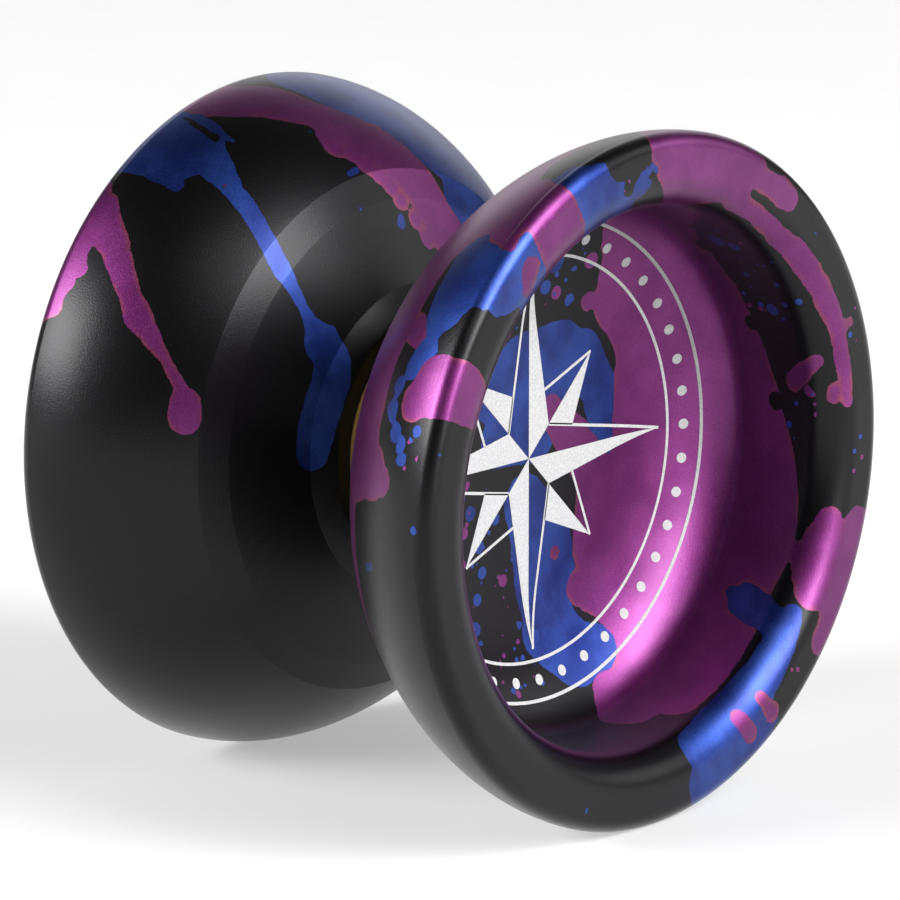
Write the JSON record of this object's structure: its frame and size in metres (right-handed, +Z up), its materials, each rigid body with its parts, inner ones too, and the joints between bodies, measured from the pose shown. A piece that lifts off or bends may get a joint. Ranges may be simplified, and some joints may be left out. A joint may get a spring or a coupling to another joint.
{
  "type": "yo yo",
  "caption": "Ball-bearing metal yo-yo: two flared cup-shaped halves clamped on a free-spinning shielded bearing, with a response pad in each half, for string play.",
  "frame": {"origin": "middle of the bearing, on the spin axis", "axes": "+X along the spin axis, out of the cup that faces right in the picture; +Z up, with the yo-yo standing on its two rims"},
  "size_m": [0.043, 0.055, 0.055],
  "materials": {
    "half_metal": "bead-blasted and anodised black with purple and blue splashes",
    "pad_silicone": "soft matt silicone, amber",
    "axle_steel": "black oxide",
    "ring_steel": "ground",
    "cage_steel": "satin",
    "ball_steel": "polished",
    "shield_steel": "stamped, satin"
  },
  "bodies": {
    "spool": {"half_left": "half_metal", "half_right": "half_metal", "response_pad_left": "pad_silicone", "response_pad_right": "pad_silicone", "axle": "axle_steel", "bearing_inner_ring": "ring_steel"},
    "bearing_outer": {"bearing_outer_ring": "ring_steel", "bearing_shield_left": "shield_steel", "bearing_shield_right": "shield_steel", "bearing_snap_ring_left": "shield_steel", "bearing_snap_ring_right": "shield_steel"},
    "cage": {"bearing_cage": "cage_steel"},
    "ball_01": {"bearing_ball_01": "ball_steel"},
    "ball_02": {"bearing_ball_02": "ball_steel"},
    "ball_03": {"bearing_ball_03": "ball_steel"},
    "ball_04": {"bearing_ball_04": "ball_steel"},
    "ball_05": {"bearing_ball_05": "ball_steel"},
    "ball_06": {"bearing_ball_06": "ball_steel"},
    "ball_07": {"bearing_ball_07": "ball_steel"},
    "ball_08": {"bearing_ball_08": "ball_steel"},
    "ball_09": {"bearing_ball_09": "ball_steel"},
    "ball_10": {"bearing_ball_10": "ball_steel"}
  },
  "joints": [
    {"name": "bearing_spin", "type": "hinge", "parent": "spool", "child": "bearing_outer", "pos_m": [0, 0, 0], "axis": [1, 0, 0], "continuous": true},
    {"name": "cage_orbit", "type": "hinge", "parent": "spool", "child": "cage", "pos_m": [0, 0, 0], "axis": [1, 0, 0], "continuous": true},
    {"name": "ball_01_roll", "type": "hinge", "parent": "cage", "child": "ball_01", "pos_m": [0, 0, -0.00476], "axis": [1, 0, 0], "continuous": true},
    {"name": "ball_02_roll", "type": "hinge", "parent": "cage", "child": "ball_02", "pos_m": [0, 0.0028, -0.00385], "axis": [1, 0, 0], "continuous": true},
    {"name": "ball_03_roll", "type": "hinge", "parent": "cage", "child": "ball_03", "pos_m": [0, 0.00453, -0.00147], "axis": [1, 0, 0], "continuous": true},
    {"name": "ball_04_roll", "type": "hinge", "parent": "cage", "child": "ball_04", "pos_m": [0, 0.00453, 0.00147], "axis": [1, 0, 0], "continuous": true},
    {"name": "ball_05_roll", "type": "hinge", "parent": "cage", "child": "ball_05", "pos_m": [0, 0.0028, 0.00385], "axis": [1, 0, 0], "continuous": true},
    {"name": "ball_06_roll", "type": "hinge", "parent": "cage", "child": "ball_06", "pos_m": [0, 0, 0.00476], "axis": [1, 0, 0], "continuous": true},
    {"name": "ball_07_roll", "type": "hinge", "parent": "cage", "child": "ball_07", "pos_m": [0, -0.0028, 0.00385], "axis": [1, 0, 0], "continuous": true},
    {"name": "ball_08_roll", "type": "hinge", "parent": "cage", "child": "ball_08", "pos_m": [0, -0.00453, 0.00147], "axis": [1, 0, 0], "continuous": true},
    {"name": "ball_09_roll", "type": "hinge", "parent": "cage", "child": "ball_09", "pos_m": [0, -0.00453, -0.00147], "axis": [1, 0, 0], "continuous": true},
    {"name": "ball_10_roll", "type": "hinge", "parent": "cage", "child": "ball_10", "pos_m": [0, -0.0028, -0.00385], "axis": [1, 0, 0], "continuous": true}
  ],
  "couplings": [
    {"joint": "cage_orbit", "follows": "bearing_spin", "ratio": 0.60417},
    {"joint": "ball_01_roll", "follows": "bearing_spin", "ratio": 2.2958},
    {"joint": "ball_02_roll", "follows": "bearing_spin", "ratio": 2.2958},
    {"joint": "ball_03_roll", "follows": "bearing_spin", "ratio": 2.2958},
    {"joint": "ball_04_roll", "follows": "bearing_spin", "ratio": 2.2958},
    {"joint": "ball_05_roll", "follows": "bearing_spin", "ratio": 2.2958},
    {"joint": "ball_06_roll", "follows": "bearing_spin", "ratio": 2.2958},
    {"joint": "ball_07_roll", "follows": "bearing_spin", "ratio": 2.2958},
    {"joint": "ball_08_roll", "follows": "bearing_spin", "ratio": 2.2958},
    {"joint": "ball_09_roll", "follows": "bearing_spin", "ratio": 2.2958},
    {"joint": "ball_10_roll", "follows": "bearing_spin", "ratio": 2.2958}
  ]
}
